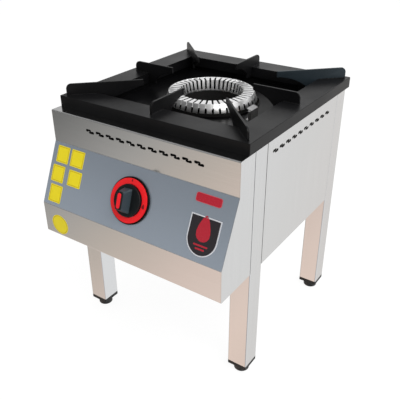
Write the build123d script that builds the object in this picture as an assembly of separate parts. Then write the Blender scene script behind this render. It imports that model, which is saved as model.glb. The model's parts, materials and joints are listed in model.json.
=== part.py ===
from build123d import *
import math
import os

# Floor-standing stock pot range: a square body on four tube legs, a sloping control box
# in front, one slotted ring burner and a lift-off pan support with eight fingers.
# Millimetres. X runs to the right, Y to the back, Z up from the floor.

# Body and legs
frame_size = 500.0          # square pan support, outside
rest_height = 620.0         # face of the pan support's border above the floor
leg_height = 30.0           # lower end of the leg tubes above the floor
leg_size = 50.0
leg_wall = 1.5
leg_corner = 2.5
frame_overhang = 25.0       # pan support past the legs, front and back
sheet = 1.5                 # steel sheet of the panels
body_drop = 290.0           # body height below the pan support's skirt
flange = 25.0               # folded edges that carry the tray
lower_flange = 15.0
bend = 2.5                  # outer bend radius of folded sheet
cap_plate = 3.0             # plate that closes a leg at the top

# Feet
socket_flange = 6.0
socket_plug = 20.0
socket_clearance = 0.2      # plug to tube wall
foot_radius = 18.5
foot_chamfer = 1.5
stud_radius = 5.0
stud_clearance = 0.05
stud_length = 40.0

# Pan support
skirt = 25.0                # depth of the border's outer skirt and inner wall
casting = 4.0               # border thickness
border = 60.0
border_edge = 1.5
finger_thickness = 5.0
finger_rise = 25.5          # top edge of the fingers above the border
finger_tip = 14.5           # height of a finger at its free end
finger_corner = 12.0        # rounded outer top corner
finger_heel = 9.5           # where the arm's underside meets the hook, above the hook's foot
arc_run = 0.62              # middle of the underside's arc, as shares of its run and fall
arc_fall = 0.38
side_tip_radius = 114.0     # free end of a side finger from the burner axis
side_end_gap = 19.0         # outer end of a side finger from the frame's edge
side_hook = 22.0            # width of the part that hooks down inside the opening
corner_tip_radius = 162.0
corner_end_gap = 15.5       # outer end of a corner finger from the frame's corner
corner_hook = 29.0

# Spill tray
tray_clearance = 3.0        # tray rim and wall to the pan support
tray_wall_gap = 3.0
tray_depth = 9.0            # deck below the rim's seat
burner_gap = 5.0            # tray opening to the burner
tray_lip = 4.0
tray_screw_length = 8.0

# Burner
crown_radius = 110.5
crown_top_radius = 102.5
crown_bore = 72.0
crown_top_bore = 77.0
crown_drop = 10.0           # crown's top face below the border
crown_height = 20.0         # outer face
crown_inner_drop = 5.0      # inner rim hangs this much lower
crown_wall = 5.0
crown_band = 3.0            # upright band at the foot of the outer face
slot_count = 42
inner_slot = 4.5
outer_slot = 5.0
top_slot = 2.5
top_slot_depth = 2.5
slot_start = 5.2            # first slot, degrees from the right
outer_slot_height = 11.0
inner_slot_foot = 3.0
base_depth = 30.0           # burner base below the crown's outer seat
base_wall = 4.0
base_floor = 5.0
neck_radius = 24.0
neck_bore = 18.0
neck_reach = 30.0           # socket for the venturi, from the neck's axis
neck_floor = 6.0

# Burner supports
rail_width = 24.0
rail_height = 15.0
rail_spacing = 190.0        # between the rails' centre lines
crossbar_depth = 24.0
crossbar_height = 20.0
crossbar_set_in = 6.0       # front crossbar's outer face behind the legs' outer face
strip = 3.0                 # flat bar of rails and crossbars
rail_bolt = 3.0
rail_bolt_head = 5.5
rail_bolt_head_height = 4.0
rail_bolt_bite = 4.0        # bolt screwed into the burner base

# Venturi, injector and air shutter
venturi_bore = 14.0
mouth_radius = 30.0
mouth_wall = 3.0
mouth_bell = 25.0           # length of the bell-shaped mouth
mouth_plate = 3.0
air_hole = 7.0
air_hole_circle = 19.0
air_hole_count = 4
shutter = 3.0
shutter_gap = 0.3
shutter_tab = 8.0
injector_hub = 7.0
hub_clearance = 0.05
nozzle_radius = 4.0
nozzle_length = 8.0
injector_hex = 9.0
injector_hex_height = 6.0
injector_thread = 5.0
bracket_width = 40.0
bracket_foot = 14.0         # bracket below the injector's axis
holder_radius = 11.0
holder_length = 18.0

# Control box
ledge = 30.0                # box ahead of the pan support
upper_strip = 75.0          # vented upright part
face_length = 150.0         # sloping face
face_tilt = 24.3            # degrees from upright
dial_plate = 1.0
dial_plate_margin = 1.0
dial_drop = 76.0            # dial centre down the sloping face
spindle_hole = 12.0

# Vents
vent_pitch = 29.0
vent_bar = 12.5
vent_height = 3.5
vent_step = 3.2             # between the two bars of a vent
vent_span = 21.0
vent_drop = 28.0            # vent row below the body's top
front_vents = 11
front_vent_shift = 11.0     # row centre to the right of the middle
side_vents = 10
side_vent_shift = 11.0      # row centre ahead of the middle

# Dial and knob, heights measured out from the dial plate
bezel_radius = 55.0
bezel_thickness = 3.0
ring_radius = 50.0
ring_thickness = 3.0
knob_radius = 35.0
knob_gap = 1.0              # knob skirt to the ring
knob_lift = 7.0
knob_skirt = 7.0
knob_cavity = 4.0
knob_wall = 4.0
knob_edge = 1.5
knob_turned = 4.0           # the knob stands this many degrees past upright
grip_foot_width = 24.0
grip_foot_length = 54.0
grip_width = 16.0
grip_length = 38.0
grip_height = 26.0
grip_edge = 4.0
grip_chamfer = 1.0
pointer_width = 9.5
pointer_length = 33.0
pointer_thickness = 1.5
pointer_proud = 0.3
knob_hub = 9.0
knob_hub_drop = 5.0
push_travel = 4.5

# Valve and spindle, depths measured in from the dial plate
spindle_radius = 4.0
spindle_flat = 1.0
spindle_play = 0.05
spindle_in_knob = 20.0      # spindle above the knob's lower rim
spindle_in_valve = 14.0
collar_radius = 8.0
collar_length = 6.0
collar_depth = 3.0
bonnet_depth = 16.0
bonnet_radius = 14.0
bonnet_length = 8.0
valve_radius = 18.0
valve_length = 50.0
valve_lug_spacing = 36.0
valve_lug_radius = 4.5
valve_flange = 3.0
port_depth = 34.0           # port axes below the bonnet
port_radius = 12.0
port_reach = 26.0
screw_radius = 2.0
screw_head = 3.6
screw_head_height = 2.0
screw_play = 0.1

# Gas pipes
pipe_radius = 10.65
pipe_wall = 2.3
pipe_bend = 30.0
pipe_inset = 80.0           # pipe from the right side
inlet_thread_radius = 10.48
inlet_thread = 16.0
inlet_hex = 15.0
feed_radius = 5.0
feed_wall = 1.0
nut_radius = 9.0
nut_length = 10.0
holder_set_back = 9.0       # holder's middle ahead of the bracket
pilot_x = 138.0             # pilot burner from the burner axis
pilot_y = -50.0
pilot_radius = 6.0
pilot_height = 34.0
pilot_rise = 14.0           # pilot burner's top above the tray's deck
pilot_window = 5.0          # flame window below the pilot burner's top
pilot_window_depth = 3.5
pilot_tube_radius = 3.0
tube_bend = 16.0
tube_bow = 33.0             # pilot tube's straight run out of the valve
tube_turn = 130.0           # pilot tube turns to the right this far ahead of the burner axis
tube_climb = 55.0           # pilot tube turns upright this far above the valve's run
lead_radius = 1.5
lead_bend = 12.0
lead_drop = 50.0            # thermocouple lead's fall below the valve, and its climb after
probe_radius = 3.0
probe_height = 30.0
probe_offset = 16.0         # probe behind the pilot burner
pilot_plate = 3.0
pilot_plate_drop = 6.0      # plate below the tray's deck
pilot_hole_margin = 5.0
hood_sheet = 1.0
hood_gap = 3.0              # hood above the pilot burner
hood_rise = 4.0             # hood's slope towards the crown
hood_margin = 2.0           # hood's ends to the hole in the tray

# Levels and places worked out from the sizes above
half_frame = frame_size / 2
body_top = rest_height - skirt
body_bottom = body_top - body_drop
front_plane = -half_frame + frame_overhang
back_plane = half_frame - frame_overhang
leg_x = half_frame - leg_size / 2
leg_y = back_plane - leg_size / 2
post_gap_x = half_frame - leg_size
post_gap_y = back_plane - leg_size
half_opening = half_frame - border
pipe_x = half_frame - pipe_inset
crown_top = rest_height - crown_drop
crown_seat = crown_top - crown_height
inner_seat = crown_seat - crown_inner_drop
base_bottom = crown_seat - base_depth
deck_top = body_top - tray_depth
tilt = math.radians(face_tilt)
box_front = -half_frame - ledge
face_top = body_top - upper_strip
chin_front = box_front - face_length * math.sin(tilt)
face_bottom = face_top - face_length * math.cos(tilt)
neck_y = -(crown_radius + crown_bore) / 2
crossbar_front = front_plane + crossbar_set_in
crossbar_back = back_plane - lower_flange
bracket_back = crossbar_front
bracket_front = bracket_back - strip

# The dial's own plane: its Z is the sloping face's outward normal, its Y runs up the face.
dial_y = box_front - dial_drop * math.sin(tilt)
dial_z = face_top - dial_drop * math.cos(tilt)
face_normal = Vector(0, -math.cos(tilt), math.sin(tilt))
face_up = Vector(0, math.sin(tilt), math.cos(tilt))
fascia_face = Plane(origin=(0, dial_y, dial_z), x_dir=(1, 0, 0), z_dir=face_normal)
dial = fascia_face.offset(dial_plate)
port_level = -(bonnet_depth + port_depth)

# The injector sits where the valve's upward port line meets the bracket.
port_center = dial.from_local_coords(Vector(0, 0, port_level))
holder_y = bracket_front - holder_set_back
feed_run = (holder_y - port_center.Y) / face_up.Y
injector_z = port_center.Z + feed_run * face_up.Z


def block(x0, x1, y0, y1, z0, z1):
    size = (abs(x1 - x0), abs(y1 - y0), abs(z1 - z0))
    center = ((x0 + x1) / 2, (y0 + y1) / 2, (z0 + z1) / 2)
    return Pos(*center) * Box(*size)


def rod(radius, start, end):
    start = Vector(*start)
    end = Vector(*end)
    along = Plane(origin=start, z_dir=end - start)
    return extrude(along * Circle(radius), amount=(end - start).length)


def in_plane(plane, radius, low, high, x=0.0, y=0.0):
    return extrude(plane.offset(low) * Pos(x, y) * Circle(radius), amount=high - low)


def side_view(points, half_width):
    outline = make_face(Polyline(*points, close=True))
    return extrude(Plane.YZ * outline, amount=half_width, both=True)


def vent_row(plane, count, cut):
    bar = SlotOverall(vent_bar, vent_height)
    offset_x = (vent_span - vent_bar) / 2
    vent = Pos(-offset_x, vent_step / 2) * bar + Pos(offset_x, -vent_step / 2) * bar
    row = Sketch()
    for index in range(count):
        row += Pos((index - (count - 1) / 2) * vent_pitch) * vent
    return extrude(plane * row, amount=cut, both=True)


# Legs and feet

def leg(x, y):
    tube = extrude(RectangleRounded(leg_size, leg_size, leg_corner), amount=body_top - leg_height)
    inner = leg_size - 2 * leg_wall
    bore = extrude(Rectangle(inner, inner), amount=body_top - leg_height - cap_plate)
    return Pos(x, y, leg_height) * (tube - bore)


def foot_socket(x, y):
    cap = extrude(RectangleRounded(leg_size, leg_size, leg_corner), amount=socket_flange)
    plug_size = leg_size - 2 * leg_wall - 2 * socket_clearance
    plug = Pos(0, 0, socket_flange) * extrude(Rectangle(plug_size, plug_size), amount=socket_plug)
    bore = extrude(Circle(stud_radius + stud_clearance), amount=socket_flange + socket_plug)
    return Pos(x, y, leg_height - socket_flange) * (cap + plug - bore)


def foot(x, y):
    pad_height = leg_height - socket_flange
    pad = extrude(Circle(foot_radius), amount=pad_height)
    pad = chamfer(pad.edges(), foot_chamfer)
    stud = Pos(0, 0, pad_height) * extrude(Circle(stud_radius), amount=stud_length)
    return Pos(x, y, 0) * (pad + stud)


# Body panels

def folded_panel(half_width, height):
    # Outer face on the plane y = 0, folded back (+Y) at the top, bottom and ends.
    face = block(-half_width, half_width, 0, sheet, 0, height)
    top = block(-half_width, half_width, 0, flange, height - sheet, height)
    bottom = block(-half_width, half_width, 0, lower_flange, 0, sheet)
    panel = face + top + bottom
    for end in (-1, 1):
        edge = end * half_width
        panel += block(edge, edge - end * sheet, 0, lower_flange, 0, height)
    return panel


def side_panel(side):
    panel = folded_panel(post_gap_y, body_drop)
    vents = Plane(origin=(0, 0, body_drop - vent_drop), x_dir=(1, 0, 0), z_dir=(0, -1, 0))
    shift = -side * side_vent_shift
    panel -= vent_row(vents * Pos(shift), side_vents, 2 * sheet)
    panel = Pos(side * half_frame, 0, body_bottom) * (Rot(0, 0, side * 90) * panel)
    for x, y in tray_screw_places():
        panel -= in_plane(Plane.XY, screw_radius + screw_play, body_top - sheet, body_top, x, y)
    return panel


def back_panel():
    panel = Pos(0, back_plane, body_bottom) * (Rot(0, 0, 180) * folded_panel(post_gap_x, body_drop))
    hole = rod(pipe_radius + sheet, (pipe_x, back_plane - flange, port_center.Z),
               (pipe_x, back_plane + sheet, port_center.Z))
    return panel - hole


# Control box

def box_outline():
    return [
        (front_plane, body_top),
        (box_front, body_top),
        (box_front, face_top),
        (chin_front, face_bottom),
        (chin_front, body_bottom),
        (front_plane, body_bottom),
    ]


def control_fascia():
    outline = make_face(Polyline(*box_outline(), close=True))
    corners = [v for v in outline.vertices() if v.X < front_plane - sheet]
    outline = fillet(corners, bend)
    inner = offset(outline, amount=-sheet, kind=Kind.INTERSECTION)
    half_width = half_frame - sheet
    shell = extrude(Plane.YZ * (outline - inner), amount=half_width, both=True)
    shell -= block(-half_frame, half_frame, front_plane - sheet, front_plane,
                   body_bottom + lower_flange, body_top - sheet)
    vents = Plane(origin=(front_vent_shift, box_front, body_top - vent_drop),
                  x_dir=(1, 0, 0), z_dir=(0, -1, 0))
    shell -= vent_row(vents, front_vents, 2 * sheet)
    shell -= in_plane(fascia_face, spindle_hole, -2 * sheet, sheet)
    return shell - valve_screw_holes(fascia_face, -2 * sheet, sheet)


def control_cheek(side):
    plate = side_view(box_outline(), sheet / 2)
    corners = plate.edges().filter_by(Axis.X).filter_by(lambda e: e.center().Y < front_plane - sheet)
    plate = fillet(corners, bend)
    return Pos(side * (half_frame - sheet / 2), 0, 0) * plate


def valve_screw_holes(plane, low, high):
    holes = Part()
    for side in (-1, 1):
        x = side * valve_lug_spacing / 2
        holes += in_plane(plane, screw_radius + screw_play, low, high, x=x)
    return holes


def dial_plate_sheet():
    length = face_length - 2 * dial_plate_margin
    width = frame_size - 2 * dial_plate_margin
    middle = dial_drop - face_length / 2
    sheet_face = Pos(0, middle) * RectangleRounded(width, length, bend)
    plate = extrude(fascia_face * sheet_face, amount=dial_plate)
    plate -= in_plane(fascia_face, spindle_hole, -sheet, dial_plate)
    return plate - valve_screw_holes(fascia_face, -sheet, dial_plate)


# Pan support

def pan_support_frame():
    outer = block(-half_frame, half_frame, -half_frame, half_frame, body_top, rest_height)
    top_edges = outer.edges().group_by(Axis.Z)[-1] + outer.edges().filter_by(Axis.Z)
    outer = fillet(top_edges, border_edge)
    core = half_frame - casting
    wall = half_opening + casting
    channel = block(-core, core, -core, core, body_top, rest_height - casting)
    channel -= block(-wall, wall, -wall, wall, body_top, rest_height - casting)
    opening = block(-half_opening, half_opening, -half_opening, half_opening, body_top, rest_height)
    return outer - channel - opening


def finger(tip, end, wall, hook, angle):
    # Side view: level top, rounded outer corner, and an arm that arcs down to a hook
    # inside the opening.
    top = rest_height + finger_rise
    tip_bottom = top - finger_tip
    heel = wall - hook
    heel_bottom = body_top + finger_heel
    bulge = (tip + (heel - tip) * arc_run, tip_bottom - (tip_bottom - heel_bottom) * arc_fall)
    outline = [
        Line((end, rest_height), (end, top - finger_corner)),
        RadiusArc((end, top - finger_corner), (end - finger_corner, top), -finger_corner),
        Line((end - finger_corner, top), (tip, top)),
        Line((tip, top), (tip, tip_bottom)),
        ThreePointArc((tip, tip_bottom), bulge, (heel, heel_bottom)),
        Line((heel, heel_bottom), (heel, body_top)),
        Line((heel, body_top), (wall, body_top)),
        Line((wall, body_top), (wall, rest_height)),
        Line((wall, rest_height), (end, rest_height)),
    ]
    plate = extrude(Plane.XZ * make_face(Curve() + outline), amount=finger_thickness / 2, both=True)
    return Rot(0, 0, angle) * plate


def side_finger(angle):
    return finger(side_tip_radius, half_frame - side_end_gap, half_opening, side_hook, angle)


def corner_finger(angle):
    corner = half_frame * math.sqrt(2)
    wall = half_opening * math.sqrt(2) - finger_thickness / 2
    return finger(corner_tip_radius, corner - corner_end_gap, wall, corner_hook, angle)


# Spill tray

def spill_tray():
    rim = half_frame - casting - tray_clearance
    wall = half_opening + casting + tray_wall_gap
    tray = block(-rim, rim, -rim, rim, body_top, body_top + sheet)
    pan = wall + sheet
    tray += block(-pan, pan, -pan, pan, deck_top - sheet, body_top)
    tray -= block(-wall, wall, -wall, wall, deck_top, body_top + sheet)
    hole = crown_radius + burner_gap
    tray += in_plane(Plane.XY, hole + sheet, deck_top, deck_top + tray_lip)
    tray -= in_plane(Plane.XY, hole, deck_top - sheet, deck_top + tray_lip)
    tray -= block(*pilot_hole(), deck_top - sheet, deck_top)
    for x, y in tray_screw_places():
        tray -= in_plane(Plane.XY, screw_radius + screw_play, body_top, body_top + sheet, x, y)
    return tray


def pilot_hole():
    half = pilot_radius + pilot_hole_margin
    back = pilot_y + probe_offset + probe_radius + pilot_hole_margin
    return pilot_x - half, pilot_x + half, pilot_y - half, back


def tray_screw_places():
    inset = half_frame - flange / 2 - sheet
    return [(side * inset, end * post_gap_y / 2) for side in (-1, 1) for end in (-1, 1)]


def tray_screws():
    seat = body_top + sheet
    screws = []
    for x, y in tray_screw_places():
        head = in_plane(Plane.XY, screw_head, seat, seat + screw_head_height, x, y)
        head = fillet(head.edges().group_by(Axis.Z)[-1], screw_head_height / 2)
        screws.append(head + in_plane(Plane.XY, screw_radius, seat - tray_screw_length, seat, x, y))
    return screws


# Burner

def burner_crown():
    section = make_face(Polyline(
        (crown_radius, crown_seat),
        (crown_radius, crown_seat + crown_band),
        (crown_top_radius, crown_top),
        (crown_top_bore, crown_top),
        (crown_bore, inner_seat + crown_band),
        (crown_bore, inner_seat),
        (crown_bore + crown_wall, inner_seat),
        (crown_top_bore + crown_wall, crown_top - crown_wall),
        (crown_top_radius - crown_wall, crown_top - crown_wall),
        (crown_radius - crown_wall, crown_seat),
        close=True,
    ))
    ring = revolve(Plane.XZ * section, Axis.Z)
    return ring - crown_slots()


def crown_slots():
    inner_end = crown_top_bore + crown_wall
    inner = block(crown_bore - crown_wall, inner_end, -inner_slot / 2, inner_slot / 2,
                  inner_seat + inner_slot_foot, crown_top + crown_wall)
    outer = block(crown_top_radius - crown_wall, crown_radius + crown_wall,
                  -outer_slot / 2, outer_slot / 2, crown_seat - crown_wall,
                  crown_seat + outer_slot_height)
    across = block(inner_end - crown_wall, crown_radius, -top_slot / 2, top_slot / 2,
                   crown_top - top_slot_depth, crown_top + crown_wall)
    slots = []
    for index in range(slot_count):
        turn = Rot(0, 0, slot_start + 360 * index / slot_count)
        slots += [turn * inner, turn * outer, turn * across]
    return slots


def burner_base():
    section = make_face(Polyline(
        (crown_radius, base_bottom),
        (crown_radius, crown_seat),
        (crown_radius - base_wall, crown_seat),
        (crown_radius - base_wall, base_bottom + base_floor),
        (crown_bore + base_wall, base_bottom + base_floor),
        (crown_bore + base_wall, inner_seat),
        (crown_bore, inner_seat),
        (crown_bore, base_bottom),
        close=True,
    ))
    ring = revolve(Plane.XZ * section, Axis.Z)
    neck_bottom = injector_z - neck_bore - neck_floor
    neck = in_plane(Plane.XY, neck_radius, neck_bottom, base_bottom, 0, neck_y)
    socket = rod(neck_radius, (0, neck_y, injector_z), (0, neck_y - neck_reach, injector_z))
    bore = in_plane(Plane.XY, neck_bore, neck_bottom + neck_floor, base_bottom + base_floor, 0, neck_y)
    entry = rod(neck_bore, (0, neck_y, injector_z), (0, neck_y - neck_reach, injector_z))
    base = ring + neck + socket - bore - entry
    for side in (-1, 1):
        x = side * rail_spacing / 2
        base -= in_plane(Plane.XY, rail_bolt + screw_play, base_bottom, base_bottom + rail_bolt_bite, x)
    return base


def venturi_tube():
    # Outline in the plane of the tube's axis: distance ahead of the neck, then radius.
    socket_end = -neck_y + neck_bore
    mouth = -mouth_plane()
    bell = mouth - mouth_bell
    outer = [
        Line((socket_end, venturi_bore), (socket_end, neck_bore)),
        Line((socket_end, neck_bore), (bell, neck_bore)),
        Spline((bell, neck_bore), (mouth - mouth_plate, mouth_radius), tangents=((1, 0), (1, 0.4))),
        Line((mouth - mouth_plate, mouth_radius), (mouth, mouth_radius)),
        Line((mouth, mouth_radius), (mouth, mouth_radius - mouth_wall)),
        Line((mouth, mouth_radius - mouth_wall), (mouth - mouth_plate, mouth_radius - mouth_wall)),
        Spline((mouth - mouth_plate, mouth_radius - mouth_wall), (bell, venturi_bore),
               tangents=((-1, -0.4), (-1, 0))),
        Line((bell, venturi_bore), (socket_end, venturi_bore)),
    ]
    axis_plane = Plane(origin=(0, 0, injector_z), x_dir=(0, -1, 0), z_dir=(-1, 0, 0))
    axis = Axis((0, 0, injector_z), (0, -1, 0))
    tube = revolve(axis_plane * make_face(Curve() + outer), axis)
    face = air_disc(mouth_plane(), mouth_plane() + mouth_plate, mouth_radius, injector_hub + shutter_gap)
    return tube + face


def mouth_plane():
    return bracket_back + injector_hex_height + shutter + 2 * shutter_gap


def air_disc(y0, y1, radius, hub):
    disc = rod(radius, (0, y0, injector_z), (0, y1, injector_z))
    disc -= rod(hub, (0, y0, injector_z), (0, y1, injector_z))
    for index in range(air_hole_count):
        turn = 2 * math.pi * index / air_hole_count
        x = air_hole_circle * math.cos(turn)
        z = injector_z + air_hole_circle * math.sin(turn)
        disc -= rod(air_hole, (x, y0, z), (x, y1, z))
    return disc


def air_shutter():
    front = bracket_back + injector_hex_height + shutter_gap
    disc = air_disc(front, front + shutter, mouth_radius, injector_hub + hub_clearance)
    half = shutter_tab / 2
    low = injector_z - mouth_radius
    tab = block(-half, half, front, front + shutter, low - shutter_tab, low + mouth_wall)
    return disc + tab


def gas_injector():
    hex_end = bracket_back + injector_hex_height
    hub_end = hex_end + shutter + 2 * shutter_gap + mouth_plate
    across = Plane(origin=(0, bracket_back, injector_z), x_dir=(1, 0, 0), z_dir=(0, 1, 0))
    jet = extrude(across * RegularPolygon(injector_hex, 6), amount=injector_hex_height)
    jet += rod(injector_hub, (0, hex_end, injector_z), (0, hub_end, injector_z))
    jet += rod(nozzle_radius, (0, hub_end, injector_z), (0, hub_end + nozzle_length, injector_z))
    jet += rod(injector_thread, (0, bracket_front, injector_z), (0, bracket_back, injector_z))
    return jet


def injector_bracket():
    top = base_bottom + crossbar_height
    half = bracket_width / 2
    plate = block(-half, half, bracket_front, bracket_back, injector_z - bracket_foot, top)
    return plate - rod(injector_thread, (0, bracket_front, injector_z), (0, bracket_back, injector_z))


def injector_holder():
    front = bracket_front - holder_length
    elbow = rod(holder_radius, (0, front, injector_z), (0, bracket_front, injector_z))
    start = port_center + face_up * (feed_run - holder_radius - nut_length)
    end = port_center + face_up * feed_run
    return elbow + rod(nut_radius, start, end)


# Burner supports

def crossbar(y0, y1):
    # Channel open downwards, between the posts.
    top = base_bottom + crossbar_height
    bar = block(-post_gap_x, post_gap_x, y0, y1, base_bottom, top)
    return bar - block(-post_gap_x, post_gap_x, y0 + strip, y1 - strip, base_bottom, top - strip)


def burner_rail(side):
    x = side * rail_spacing / 2
    half = rail_width / 2
    inner = half - strip
    low = base_bottom - rail_height
    rail = block(x - half, x + half, crossbar_front, crossbar_back, low, base_bottom)
    rail -= block(x - inner, x + inner, crossbar_front, crossbar_back, low, base_bottom - strip)
    return rail - in_plane(Plane.XY, rail_bolt + screw_play, low, base_bottom, x)


def rail_bolts():
    seat = base_bottom - strip
    bolts = []
    for side in (-1, 1):
        x = side * rail_spacing / 2
        across = Plane.XY.offset(seat - rail_bolt_head_height) * Pos(x, 0)
        head = extrude(across * RegularPolygon(rail_bolt_head, 6), amount=rail_bolt_head_height)
        bolts.append(head + in_plane(Plane.XY, rail_bolt, seat, base_bottom + rail_bolt_bite, x))
    return bolts


# Dial and knob

def ring_disc(radius, low, high):
    disc = in_plane(dial, radius, low, high)
    disc -= in_plane(dial, knob_radius + knob_gap, low, high)
    return disc


def dial_bezel():
    return ring_disc(bezel_radius, 0, bezel_thickness)


def dial_ring():
    return ring_disc(ring_radius, bezel_thickness, bezel_thickness + ring_thickness)


def control_knob():
    skirt_top = knob_lift + knob_skirt
    body = in_plane(dial, knob_radius, knob_lift, skirt_top)
    rim = body.edges().sort_by(lambda e: dial.to_local_coords(e.center()).Z)[-1]
    body = fillet(rim, knob_edge)
    cavity = in_plane(dial, knob_radius - knob_wall, knob_lift, knob_lift + knob_cavity)
    body -= cavity
    body += grip()
    body += in_plane(dial, knob_hub, knob_lift - knob_hub_drop, skirt_top)
    body -= spindle_section(spindle_radius + spindle_play, knob_lift - knob_hub_drop,
                            knob_lift + spindle_in_knob)
    return body - pointer_slab(grip_height + skirt_top - pointer_seat())


def pointer_seat():
    return pointer_thickness - pointer_proud


def pointer_slab(low):
    bar = Rot(0, 0, 90 + knob_turned) * SlotOverall(pointer_length, pointer_width)
    return extrude(dial.offset(low) * bar, amount=pointer_thickness)


def knob_pointer():
    return pointer_slab(knob_lift + knob_skirt + grip_height - pointer_seat())


def grip():
    low = knob_lift + knob_skirt
    foot_outline = RectangleRounded(grip_foot_width, grip_foot_length, grip_edge)
    top_outline = RectangleRounded(grip_width, grip_length, grip_edge)
    turned = Rot(0, 0, knob_turned)
    lower = dial.offset(low) * (turned * foot_outline)
    upper = dial.offset(low + grip_height) * (turned * top_outline)
    bar = loft(Sketch() + [lower, upper])
    return chamfer(bar.faces().sort_by(Axis(dial.origin, dial.z_dir))[-1].edges(), grip_chamfer)


def spindle_section(radius, low, high):
    # Round shaft with one flat.
    flat = Pos(0, radius) * Rectangle(2 * radius, 2 * spindle_flat)
    return extrude(dial.offset(low) * (Circle(radius) - flat), amount=high - low)


def valve_spindle():
    round_end = in_plane(dial, spindle_radius, -bonnet_depth - spindle_in_valve, -collar_depth)
    flat_end = spindle_section(spindle_radius, -collar_depth, knob_lift + spindle_in_knob)
    return round_end + flat_end


def push_collar():
    low = -collar_depth - collar_length
    collar = in_plane(dial, collar_radius, low, -collar_depth)
    return collar - in_plane(dial, spindle_radius + spindle_play, low, -collar_depth)


def gas_valve():
    top = -bonnet_depth
    body_start = top - bonnet_length
    body = in_plane(dial, bonnet_radius, body_start, top)
    body += in_plane(dial, valve_radius, body_start - valve_length, body_start)
    seat = -dial_plate - sheet
    for side in (-1, 1):
        x = side * valve_lug_spacing / 2
        body += in_plane(dial, valve_lug_radius, top - valve_flange, seat, x=x)
    lugs = extrude(dial.offset(top) * SlotOverall(valve_lug_spacing + 2 * valve_lug_radius,
                                                  2 * valve_lug_radius), amount=-valve_flange)
    body += lugs
    body += rod(port_radius, port_center, port_center + Vector(port_reach, 0, 0))
    body += rod(nut_radius, port_center, port_center + face_up * port_reach)
    body -= in_plane(dial, spindle_radius + spindle_play, top - spindle_in_valve - 2 * push_travel, top)
    return body - valve_screw_holes(dial, top - valve_flange, seat)


def valve_screws():
    screws = []
    for side in (-1, 1):
        x = side * valve_lug_spacing / 2
        head = in_plane(dial, screw_head, 0, screw_head_height, x=x)
        screws.append(head + in_plane(dial, screw_radius, -bonnet_depth, 0, x=x))
    return screws


# Gas pipes

def supply_pipe():
    start = port_center + Vector(port_reach, 0, 0)
    corner = Vector(pipe_x, start.Y, start.Z)
    end = Vector(pipe_x, back_plane, start.Z)
    path = FilletPolyline(start, corner, end, radius=pipe_bend)
    across = Plane(origin=start, z_dir=(1, 0, 0))
    return sweep(across * (Circle(pipe_radius) - Circle(pipe_radius - pipe_wall)), path=path)


def gas_inlet():
    z = port_center.Z
    thread_start = half_frame - inlet_thread
    across = Plane(origin=(pipe_x, back_plane, z), x_dir=(1, 0, 0), z_dir=(0, 1, 0))
    fitting = extrude(across * RegularPolygon(inlet_hex, 6), amount=thread_start - back_plane)
    fitting += rod(inlet_thread_radius, (pipe_x, thread_start, z), (pipe_x, half_frame, z))
    bore = rod(pipe_radius - pipe_wall, (pipe_x, back_plane, z), (pipe_x, half_frame, z))
    return fitting - bore


def feed_pipe():
    start = port_center + face_up * port_reach
    end = port_center + face_up * (feed_run - holder_radius - nut_length)
    return rod(feed_radius, start, end) - rod(feed_radius - feed_wall, start, end)


def pilot_base():
    return deck_top + pilot_rise - pilot_height


def pilot_tube():
    start = dial.from_local_coords(Vector(0, 0, -bonnet_depth - bonnet_length - valve_length))
    inward = start - face_normal * tube_bow
    low = Vector(pilot_x, -tube_turn, inward.Z)
    turn = Vector(pilot_x, pilot_y, low.Z + tube_climb)
    end = Vector(pilot_x, pilot_y, pilot_base())
    path = FilletPolyline(start, inward, low, turn, end, radius=tube_bend)
    across = Plane(origin=start, z_dir=inward - start)
    return sweep(across * Circle(pilot_tube_radius), path=path)


def pilot_burner():
    base = pilot_base()
    body = in_plane(Plane.XY, pilot_radius, base, base + pilot_height, pilot_x, pilot_y)
    probe_y = pilot_y + probe_offset
    plate_z = deck_top - pilot_plate_drop - pilot_plate
    ear = pilot_radius
    plate = block(0, pilot_x + ear, pilot_y - ear, probe_y + ear, plate_z, plate_z + pilot_plate)
    plate -= in_plane(Plane.XY, crown_radius, plate_z, plate_z + pilot_plate)
    body += plate
    body -= in_plane(Plane.XY, probe_radius, plate_z, plate_z + pilot_plate, pilot_x, probe_y)
    window_top = base + pilot_height - pilot_window
    window = block(pilot_x - 2 * pilot_radius, pilot_x, pilot_y - pilot_radius / 2,
                   pilot_y + pilot_radius / 2, window_top - pilot_window_depth, window_top)
    return body - window + pilot_hood(plate_z)


def pilot_hood(low):
    # Bent sheet beside and over the pilot burner and the probe, open towards the crown.
    right = pilot_x + pilot_radius
    left = pilot_x - pilot_radius
    top = deck_top + pilot_rise + hood_gap + hood_sheet
    outline = make_face(Polyline(
        (right, low),
        (right, top),
        (left, top + hood_rise),
        (left, top + hood_rise - hood_sheet),
        (right - hood_sheet, top - hood_sheet),
        (right - hood_sheet, low),
        close=True,
    ))
    x0, x1, front, back = pilot_hole()
    across = Plane(origin=(0, front + hood_margin, 0), x_dir=(1, 0, 0), z_dir=(0, -1, 0))
    return extrude(across * outline, amount=-(back - front - 2 * hood_margin))


def thermocouple():
    probe_y = pilot_y + probe_offset
    base = pilot_base()
    probe = in_plane(Plane.XY, probe_radius, base, base + probe_height, pilot_x, probe_y)
    start = port_center - face_up * valve_radius
    down = start - face_up * lead_drop
    low = Vector(pilot_x / 2, front_plane, down.Z)
    turn = Vector(pilot_x, probe_y, down.Z + lead_drop)
    end = Vector(pilot_x, probe_y, base)
    path = FilletPolyline(start, down, low, turn, end, radius=lead_bend)
    across = Plane(origin=start, z_dir=down - start)
    return probe + sweep(across * Circle(lead_radius), path=path)


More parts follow.
